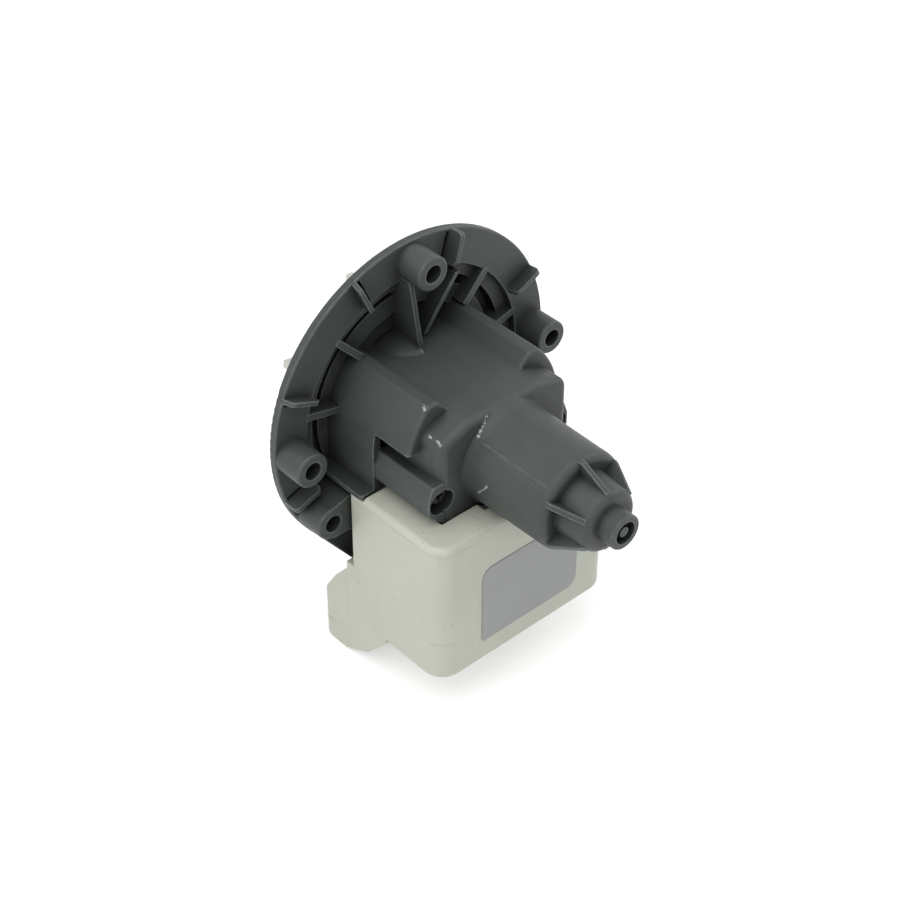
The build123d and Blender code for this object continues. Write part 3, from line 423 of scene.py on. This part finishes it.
def laminated_finish():
    """Stacked electrical sheet: dark oxide with a bright line at each sheet's edge."""
    plain = {"Base Color": SHEET_COLOUR, "Metallic": 0.85}
    material, tree, shader = finish("core_steel", plain)
    inputs = {"Vector": object_place(tree), "Scale": 320.0, "Distortion": 0.3, "Detail": 1.0,
              "Detail Scale": 2.0}
    sheets = add(tree, "ShaderNodeTexWave", inputs, wave_type="BANDS",
                 bands_direction="X").outputs["Fac"]
    rust = patches(tree, 0.003, 0.58, 0.75, detail=5.0, rough=0.65)
    base = blend_colour(tree, sheets, tint(SHEET_COLOUR, 0.6), tint(SHEET_COLOUR, 1.7))
    base = stain(tree, base, rust, 0.6, RUST_COLOUR)
    paint(tree, shader, base, window(tree, rust, 0.0, 1.0, 0.42, 0.75))
    relief(tree, shader, sheets, 0.00006)
    return material


def sintered_finish(name, colour, rough, grain_size, sparkle):
    """Pressed and sintered grain: dark pores and small pale grains."""
    plain = {"Base Color": colour, "Specular IOR Level": 0.5}
    material, tree, shader = finish(name, plain)
    inputs = {"Vector": object_place(tree), "Scale": 1.0 / grain_size}
    cells = add(tree, "ShaderNodeTexVoronoi", inputs).outputs["Distance"]
    pores = patches(tree, grain_size * 2.5, 0.62, 0.72, detail=3.0, rough=0.6)
    edges = window(tree, cells, 0.15, 0.6)
    base = blend_colour(tree, edges, tint(colour, 1.0 + sparkle), tint(colour, 0.75))
    base = blend_colour(tree, pores, base, tint(colour, 0.35))
    paint(tree, shader, base, window(tree, cells, 0.0, 0.7, rough, rough + 0.15))
    relief(tree, shader, cells, 0.00002, METAL_EDGE)
    return material


def copper_finish(settings):
    """Enamelled copper wire: painted shade in the grooves between turns, painted highlight on the
    turns' crowns, amber varnish in patches.
    """
    colour = tuple(settings.copper)
    plain = {"Base Color": colour, "Metallic": 0.75, "Coat Weight": 0.6, "Coat Roughness": 0.18}
    material, tree, shader = finish("winding_copper", plain)
    turn = add(tree, "ShaderNodeUVMap", uv_map="wire").outputs[0]
    across = add(tree, "ShaderNodeSeparateXYZ", {0: turn}).outputs[1]
    wobble = times(tree, cloud(tree, 0.004), 0.25)
    ripple = math_node(tree, "PINGPONG", math_node(tree, "ADD", across, wobble), 0.5)
    varnish = patches(tree, 0.005, 0.4, 0.7, detail=3.0, rough=0.6)
    # Painted shade in the grooves between turns and painted highlight on their crowns.
    ridge = window(tree, ripple, 0.0, 0.5)
    base = blend_colour(tree, ridge, tint(colour, 0.45), tint(colour, 1.35))
    base = stain(tree, base, varnish, 0.4, VARNISH_COLOUR)
    paint(tree, shader, base, window(tree, varnish, 0.0, 1.0, 0.28, 0.42))
    relief(tree, shader, ripple, 0.00003)
    return material


def dress(names, material):
    """Puts one finish on CAD nodes."""
    for name in names:
        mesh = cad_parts[name].data
        mesh.materials.clear()
        mesh.materials.append(material)


# Meshes

POINTS_PER_TURN = 6
CORNER_STEPS = 9
INNER_WALL_STEPS = 12
END_SHARES = (0.25, 0.5, 0.75)
CORNER_KEPT = 0.98
SWELLING_RINGS = 33
SWELLING_STEPS = 25
SWELLING_LIP = 0.00008
MERGE_DISTANCE = 1e-6
TINY = 1e-9


def placed(name, data):
    """New object with the given data, linked to the scene."""
    made = bpy.data.objects.new(name, data)
    bpy.context.scene.collection.objects.link(made)
    return made


def rounded_loop(centre, half, corner, steps):
    """Points and outward normals round a rectangle whose corners are quarter circles.

    Each corner's arc runs through a quarter turn from its own centre, which lies one corner
    radius inside both sides, so the straight sides are the lines between one arc's end and the
    next one's start.
    """
    sweep = np.linspace(0.0, np.pi / 2, steps)
    angle = (sweep[None, :] + np.arange(4)[:, None] * np.pi / 2).ravel()
    signs = np.repeat(np.array([[1, 1], [-1, 1], [-1, -1], [1, -1]], float), steps, axis=0)
    normal = np.column_stack((np.cos(angle), np.sin(angle)))
    inner = signs * (np.asarray(half) - corner)
    return np.asarray(centre) + inner + corner * normal, normal


def wound_coil(name, node, settings):
    """Coil of one wire wound in a helix on a rounded rectangle, closed by an inner wall.

    A point at share s round the loop and height z over the foot stands inwards of the loop by
    the relief times one minus |sin(pi (z / pitch + s))|, so that a ridge climbs by one pitch on
    each trip round. Past the top the section crosses to the inner wall, runs down it and comes
    back underneath. Points further in than the corner radius shrink with the whole rectangle.
    """
    low, high = (np.array(corner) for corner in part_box(node))
    centre, half = (low[:2] + high[:2]) / 2, (high[:2] - low[:2]) / 2
    loop, normal = rounded_loop(centre, half, settings.corner, CORNER_STEPS)
    around = len(loop)
    length = np.linalg.norm(np.roll(loop, -1, axis=0) - loop, axis=1)
    share = np.concatenate(([0.0], np.cumsum(length)[:-1])) / length.sum()
    climb = np.linspace(0.0, 1.0, settings.turns * POINTS_PER_TURN + 1)
    wire = climb * settings.turns
    phase = wire[None, :] + share[:, None]
    ridges = settings.relief * (1.0 - np.abs(np.sin(np.pi * phase)))
    ends = np.array(END_SHARES) * settings.wall
    heights = np.concatenate((low[2] + (high[2] - low[2]) * climb, np.full(len(ends), high[2]),
                              np.linspace(high[2], low[2], INNER_WALL_STEPS),
                              np.full(len(ends), low[2])))
    inward = np.concatenate((ridges, np.tile(ends, (around, 1)),
                             np.full((around, INNER_WALL_STEPS), settings.wall),
                             np.tile(ends[::-1], (around, 1))), axis=1)
    along = inward.shape[1]
    limit = settings.corner * CORNER_KEPT
    flat = loop[:, None, :] - normal[:, None, :] * np.minimum(inward, limit)[:, :, None]
    extra = np.maximum(inward - limit, 0.0)[:, :, None]
    side = np.sign(flat - centre) * np.minimum(np.abs(flat - centre), half - limit)
    points = np.empty((around, along, 3))
    points[:, :, :2] = np.where(extra > 0, centre + side * (1.0 - extra / np.abs(half - limit)),
                                flat)
    points[:, :, 2] = heights[None, :]
    turn = np.concatenate((wire, np.full(along - len(wire), 0.5)))
    uv = np.stack((np.broadcast_to(share[:, None], (around, along)),
                   turn[None, :] + share[:, None]), axis=2)
    return grid_mesh(name, points, uv)


def grid_mesh(name, points, uv):
    """Mesh of a grid of points that closes on itself both ways, with a UV map called wire."""
    rows, columns = points.shape[:2]
    row, column = np.meshgrid(np.arange(rows), np.arange(columns), indexing="ij")
    next_row, next_column = (row + 1) % rows, (column + 1) % columns
    corners = np.stack((row * columns + column, next_row * columns + column,
                        next_row * columns + next_column, row * columns + next_column), axis=2)
    mesh = bpy.data.meshes.new(name)
    mesh.vertices.add(rows * columns)
    mesh.vertices.foreach_set("co", points.reshape(-1).astype(np.float32))
    mesh.loops.add(corners.size)
    mesh.loops.foreach_set("vertex_index", corners.reshape(-1).astype(np.int32))
    mesh.polygons.add(rows * columns)
    mesh.polygons.foreach_set("loop_start", np.arange(0, corners.size, 4, dtype=np.int32))
    mesh.polygons.foreach_set("use_smooth", np.ones(rows * columns, bool))
    mesh.update(calc_edges=True)
    layer = mesh.uv_layers.new(name="wire")
    wire = uv.reshape(-1, 2)[corners.reshape(-1)]
    layer.data.foreach_set("uv", wire.reshape(-1).astype(np.float32))
    mesh.validate()
    return placed(name, mesh)


def tube_mesh(name, rings):
    """Closed mesh of rings of points one after another, with a flat end on the outer two."""
    count, around = rings.shape[:2]
    ring, place = np.meshgrid(np.arange(count - 1), np.arange(around), indexing="ij")
    after = (place + 1) % around
    sides = np.stack((ring * around + place, (ring + 1) * around + place,
                      (ring + 1) * around + after, ring * around + after), axis=2).reshape(-1, 4)
    last = (count - 1) * around + np.arange(around)
    mesh = bpy.data.meshes.new(name)
    mesh.from_pydata(rings.reshape(-1, 3).tolist(), [],
                     sides.tolist() + [np.arange(around).tolist(), last[::-1].tolist()])
    mesh.validate()
    return placed(name, mesh)


def roof_swelling(name, start, end, level, rise, sink, web):
    """Low swelling of the roof over the round front bearing, up to the web beside it.

    The height over the axis is the square root of the radius squared less the sideways distance
    squared. The radius falls from the roof level plus the rise towards the swelling's sunk floor
    by the cube of the share of the way to the end, where a thin lip is left.
    """
    share = 1.0 - np.linspace(1.0, 0.0, SWELLING_RINGS) ** 2
    floor = level - sink
    radius = floor + SWELLING_LIP + (rise + sink) * (1.0 - share ** 3)
    half = np.sqrt(radius ** 2 - floor ** 2)
    across = np.linspace(0.0, 1.0, SWELLING_STEPS)
    side = -half[:, None] + (half + web)[:, None] * across[None, :]
    top = np.sqrt(radius[:, None] ** 2 - side ** 2)
    along = np.broadcast_to((start + (end - start) * share)[:, None], side.shape)
    upper = np.stack((along, side, top), axis=2)
    lower = np.stack((along, side, np.full_like(side, floor)), axis=2)[:, -2:0:-1]
    made = tube_mesh(name, np.concatenate((upper, lower), axis=1))
    made.data.polygons.foreach_set("use_smooth", np.ones(len(made.data.polygons), bool))
    return made


def squared_tips(name, node, corner, grow):
    """Merged copy of a bladed wheel whose rounded outer blade corners are pushed out to square.

    A point in the corner zone, at given shares of the zone's depth forwards and outwards, moves
    to those shares divided by the larger one's share of their length, which turns the quarter
    circle into a square. The zone then reaches further out by the growth.
    """
    shell = bmesh.new()
    shell.from_mesh(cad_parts[node].data)
    bmesh.ops.remove_doubles(shell, verts=shell.verts, dist=MERGE_DISTANCE)
    mesh = bpy.data.meshes.new(name)
    shell.to_mesh(mesh)
    shell.free()
    points = np.empty(len(mesh.vertices) * 3)
    mesh.vertices.foreach_get("co", points)
    points = points.reshape(-1, 3)
    radius = np.hypot(points[:, 1], points[:, 2])
    front, rim = points[:, 0].min(), radius.max()
    ahead = np.clip((front + corner - points[:, 0]) / corner, 0.0, None)
    out = np.clip((radius - rim + corner) / corner, 0.0, None)
    both = (ahead > 0) & (out > 0)
    stretch = np.where(both, np.hypot(ahead, out) / np.maximum(np.maximum(ahead, out), TINY), 1.0)
    moved = front + corner - np.clip(ahead * stretch, 0.0, 1.0) * corner
    points[:, 0] = np.where(ahead > 0, moved, points[:, 0])
    grown = rim - corner + np.clip(out * stretch, 0.0, 1.0) * (corner + grow)
    wanted = np.where(out > 0, grown, radius)
    points[:, 1:] *= (wanted / np.maximum(radius, TINY))[:, None]
    mesh.vertices.foreach_set("co", points.reshape(-1))
    mesh.update()
    return placed(name, mesh)


# Steps

# Start, end and radius of each nick, in metres
SCRATCHES = (((0.0282, -0.0191, 0.0187), (0.0292, -0.0196, 0.0183), 0.0005),
             ((0.0312, -0.0199, 0.0136), (0.0322, -0.0208, 0.0122), 0.0004),
             ((0.0322, -0.0208, 0.0122), (0.0338, -0.0206, 0.0122), 0.0004),
             ((0.0350, -0.0204, 0.0124), (0.0366, -0.0209, 0.0119), 0.0005),
             ((0.0379, -0.0064, 0.0144), (0.0390, -0.0105, 0.0106), 0.0005),
             ((0.0431, -0.0140, -0.0031), (0.0466, -0.0143, 0.0012), 0.0004))


class DressHousing(Operator):
    """Grey moulded plastic on the pump housing and the bearing shield"""
    bl_idname = "drain_pump.dress_housing"
    bl_label = "Dress the housing"

    def execute(self, context):
        settings = context.scene.pump_finishes
        radius, wear_and_sheen = settings.edge_round, settings.wear_and_sheen
        housing = moulded("housing_plastic", tuple(settings.housing), radius, wear_and_sheen,
                          scratches=SCRATCHES)
        shield = moulded("shield_plastic", tuple(settings.shield), radius, wear_and_sheen * 0.5)
        dress(["pump_housing"], housing)
        swelling = roof_swelling("bearing_swelling", start=-0.0035, end=0.0088, level=0.0155,
                                 rise=0.0023, sink=0.0003, web=-0.0013)
        swelling.data.materials.append(housing)
        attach(swelling, "pump_body")
        dress(["bearing_shield"], shield)
        return {"FINISHED"}


class DressCover(Operator):
    """Off-white moulded plastic on the coil cover and its lid"""
    bl_idname = "drain_pump.dress_cover"
    bl_label = "Dress the coil cover"

    def execute(self, context):
        dress(["coil_cover", "cover_lid"], cover_finish(context.scene.pump_finishes))
        return {"FINISHED"}


class DressPlate(Operator):
    """Bare satin foil on the plate of the coil cover"""
    bl_idname = "drain_pump.dress_plate"
    bl_label = "Dress the plate"

    def execute(self, context):
        dress(["rating_plate"], plate_finish(context.scene.pump_finishes))
        return {"FINISHED"}


class DressSeals(Operator):
    """Black rubber on the seals, the rear mount and the impeller bumper"""
    bl_idname = "drain_pump.dress_seals"
    bl_label = "Dress the seals"

    def execute(self, context):
        dress(["flange_seal", "shield_seal", "shaft_seal", "rear_bush_mount", "impeller_bumper"],
              rubber_finish(context.scene.pump_finishes))
        return {"FINISHED"}


class DressImpeller(Operator):
    """Off-white plastic on the impeller and its cap"""
    bl_idname = "drain_pump.dress_impeller"
    bl_label = "Dress the impeller"

    def execute(self, context):
        settings = context.scene.pump_finishes
        plastic = moulded("impeller_plastic", tuple(settings.impeller), settings.edge_round * 0.6,
                          settings.wear_and_sheen * 0.4, rough=(0.34, 0.46))
        dress(["impeller_cap"], plastic)
        wheel = squared_tips("impeller_wheel_blades", "impeller", corner=0.0018, grow=0.0005)
        wheel.data.materials.append(plastic)
        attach(wheel, "impeller_wheel")
        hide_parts("impeller")
        return {"FINISHED"}


class DressRotor(Operator):
    """Ferrite, pale plastic, ground steel and bearing materials on the rotor and its bearings"""
    bl_idname = "drain_pump.dress_rotor"
    bl_label = "Dress the rotor"

    def execute(self, context):
        settings = context.scene.pump_finishes
        dress(["magnet"], sintered_finish("magnet_ferrite", (0.035, 0.035, 0.038), rough=0.45,
                                          grain_size=0.0003, sparkle=0.6))
        dress(["front_bush", "rear_bush"],
              sintered_finish("bush_graphite", (0.028, 0.028, 0.030), rough=0.38,
                              grain_size=0.0002, sparkle=1.2))
        dress(["magnet_sleeve", "drive_dog"],
              moulded("rotor_plastic", tuple(settings.rotor), settings.edge_round * 0.5,
                      settings.wear_and_sheen * 0.3, rough=(0.34, 0.46)))
        dress(["front_washer", "rear_washer"],
              moulded("washer_plastic", (0.60, 0.57, 0.46), radius=0.0001, wear_and_sheen=0.2,
                      rough=(0.30, 0.40)))
        dress(["shaft"], metal_finish("shaft_steel", (0.60, 0.60, 0.61), rough=0.22,
                                      stretch=(0.04, 1.0, 1.0), tarnish=0.15))
        return {"FINISHED"}


class DressMotor(Operator):
    """Sheet steel, near-black screws whose dark colour is painted shade of their deep holes, pale
    bobbins, tinned terminals and the black cut-out
    """
    bl_idname = "drain_pump.dress_motor"
    bl_label = "Dress the motor"

    def execute(self, context):
        radius = context.scene.pump_finishes.edge_round
        dress(["stator_core"], laminated_finish())
        # Painted shade: the screws sit deep in dark holes, and their near-black colour stands in
        # for that shade.
        dress(["core_screws"],
              metal_finish("screw_steel", (0.085, 0.085, 0.09), rough=0.46,
                           stretch=(1.0, 1.0, 1.0), brush_size=0.0012, tarnish=0.7))
        dress(["terminal_inner", "terminal_outer"],
              metal_finish("terminal_tin", (0.62, 0.62, 0.58), rough=0.30,
                           stretch=(0.05, 1.0, 1.0), tarnish=0.25))
        dress(["bobbin_left", "bobbin_right"],
              moulded("bobbin_plastic", (0.55, 0.54, 0.46), radius * 0.5, wear_and_sheen=0.2))
        dress(["thermal_cutout"],
              moulded("cutout_case", (0.02, 0.02, 0.022), radius * 0.6, wear_and_sheen=0.4))
        return {"FINISHED"}


class WindCoils(Operator):
    """Windings of enamelled wire on both bobbins"""
    bl_idname = "drain_pump.wind_coils"
    bl_label = "Wind the coils"

    def execute(self, context):
        copper = copper_finish(context.scene.pump_finishes)
        for node in ("winding_left", "winding_right"):
            coil = wound_coil("wire_" + node.split("_")[1], node, context.scene.pump_coils)
            coil.data.materials.append(copper)
            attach(coil, "pump_body")
            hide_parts(node)
        return {"FINISHED"}


# Name, side and direction from the target of each soft lamp
LAMPS = (("key", 0.90, (0.05, -0.80, 0.60)),
         ("fill", 0.60, (0.90, -0.15, 0.40)),
         ("top", 0.80, (0.05, -0.25, 0.97)),
         ("back", 0.40, (0.30, 0.78, 0.55)))
LAMP_DISTANCE = 0.75
SENSOR_WIDTH = 36.0
CLIP_START = 0.01
CLIP_END = 20.0
FLOOR_REACH = 6.0
FLOOR_GAP = 0.0002
FLOOR_LIFT = 0.40


def camera_axes(settings):
    """Right, up and back directions of the camera, from its azimuth, elevation and roll."""
    azimuth, elevation, roll = settings.azimuth, settings.elevation, settings.roll
    back = np.array([math.cos(elevation) * math.sin(azimuth),
                     -math.cos(elevation) * math.cos(azimuth), math.sin(elevation)])
    right = np.array([math.cos(azimuth), math.sin(azimuth), 0.0])
    up = np.cross(back, right)
    turned = math.cos(roll) * right + math.sin(roll) * up
    return turned, np.cross(back, turned), back


def aimed(place, right, up, back):
    """World matrix of an object at a place that looks along minus its back direction."""
    matrix = np.eye(4)
    matrix[:3, 0], matrix[:3, 1], matrix[:3, 2], matrix[:3, 3] = right, up, back, place
    return Matrix(matrix.tolist())


def soft_lamp(name, power, size, place, target):
    """Square area lamp that faces the target."""
    lamp = bpy.data.lights.new(name, "AREA")
    lamp.energy, lamp.size = power, size
    back = np.asarray(place, float) - np.asarray(target, float)
    back /= np.linalg.norm(back)
    right = np.cross((0.0, 0.0, 1.0), back)
    right /= np.linalg.norm(right)
    placed(name, lamp).matrix_world = aimed(place, right, np.cross(back, right), back)


def seen_share(tree):
    """One for rays from the camera, through clear matter and off gloss, zero for all others."""
    rays = add(tree, "ShaderNodeLightPath").outputs
    seen = math_node(tree, "MAXIMUM", rays["Is Camera Ray"], rays["Is Transmission Ray"])
    return math_node(tree, "MAXIMUM", seen, rays["Is Glossy Ray"])


class SetStage(Operator):
    """Pale floor, soft lamps, white surroundings and the camera"""
    bl_idname = "drain_pump.set_stage"
    bl_label = "Set the stage"

    def execute(self, context):
        scene = context.scene
        settings = scene.pump_stage
        right, up, back = camera_axes(settings)
        target = np.array(settings.target)
        camera = bpy.data.cameras.new("camera")
        camera.lens, camera.sensor_width = settings.lens, SENSOR_WIDTH
        camera.sensor_fit = "HORIZONTAL"
        camera.clip_start, camera.clip_end = CLIP_START, CLIP_END
        view = placed("camera", camera)
        view.matrix_world = aimed(target + settings.distance * back, right, up, back)
        scene.camera = view
        for name, size, direction in LAMPS:
            place = target + LAMP_DISTANCE * np.array(direction)
            soft_lamp(name, getattr(settings, name), size, place, target)
        self.surround(scene, settings.sky)
        self.lay_floor(settings.floor, target)
        scene.view_settings.view_transform = "Standard"
        return {"FINISHED"}

    def surround(self, scene, sky):
        """World of an even grey that shows as white to the camera and in gloss."""
        world = bpy.data.worlds.new("studio")
        world.use_nodes = True
        scene.world = world
        tree = world.node_tree
        background = tree.nodes["Background"]
        strength = window(tree, seen_share(tree), 0.0, 1.0, sky, 1.0)
        tree.links.new(strength, background.inputs["Strength"])
        background.inputs["Color"].default_value = (1.0, 1.0, 1.0, 1.0)

    def lay_floor(self, colour, target):
        """Flat square floor under the pump's lowest point, lifted in brightness to the camera."""
        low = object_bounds()[0][2]
        corners = [(target[0] + x * FLOOR_REACH, target[1] + y * FLOOR_REACH, low - FLOOR_GAP)
                   for x, y in ((-1, -1), (1, -1), (1, 1), (-1, 1))]
        mesh = bpy.data.meshes.new("floor")
        mesh.from_pydata(corners, [], [(0, 1, 2, 3)])
        floor = placed("floor", mesh)
        plain = {"Base Color": tuple(colour), "Roughness": 0.9, "Specular IOR Level": 0.1}
        material, tree, shader = finish("floor_paper", plain)
        glow = times(tree, seen_share(tree), FLOOR_LIFT)
        lift = add(tree, "ShaderNodeEmission", {"Strength": glow})
        both = add(tree, "ShaderNodeAddShader", {0: shader.outputs[0], 1: lift.outputs[0]})
        tree.links.new(both.outputs[0], tree.nodes["Material Output"].inputs["Surface"])
        mesh.materials.append(material)
        floor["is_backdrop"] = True


class DrainPumpPanel(Panel):
    """Lists the steps and their sizes and colours"""
    bl_idname = "VIEW3D_PT_drain_pump"
    bl_label = "Drain pump"
    bl_space_type = "VIEW_3D"
    bl_region_type = "UI"
    bl_category = "Drain pump"

    def draw(self, context):
        layout = self.layout
        for step in STEPS:
            layout.operator(step.bl_idname)
        scene = context.scene
        for group in (scene.pump_finishes, scene.pump_coils, scene.pump_stage):
            box = layout.box()
            for name in group.__annotations__:
                box.prop(group, name)


SETTINGS = {"pump_finishes": PumpFinishes, "pump_coils": PumpCoils, "pump_stage": PumpStage}
STEPS = (DressHousing, DressCover, DressPlate, DressSeals, DressImpeller, DressRotor, DressMotor,
         WindCoils, SetStage)


def register():
    """Makes the settings, the steps and the panel known."""
    for kind in (*SETTINGS.values(), *STEPS, DrainPumpPanel):
        bpy.utils.register_class(kind)
    for name, kind in SETTINGS.items():
        setattr(bpy.types.Scene, name, PointerProperty(type=kind))


def unregister():
    """Takes the settings, the steps and the panel away again."""
    for name in SETTINGS:
        delattr(bpy.types.Scene, name)
    for kind in (DrainPumpPanel, *reversed(STEPS), *SETTINGS.values()):
        bpy.utils.unregister_class(kind)


def main():
    """Runs every step."""
    register()
    bpy.ops.drain_pump.dress_housing()
    bpy.ops.drain_pump.dress_cover()
    bpy.ops.drain_pump.dress_plate()
    bpy.ops.drain_pump.dress_seals()
    bpy.ops.drain_pump.dress_impeller()
    bpy.ops.drain_pump.dress_rotor()
    bpy.ops.drain_pump.dress_motor()
    bpy.ops.drain_pump.wind_coils()
    bpy.ops.drain_pump.set_stage()


if __name__ == "__main__":
    main()
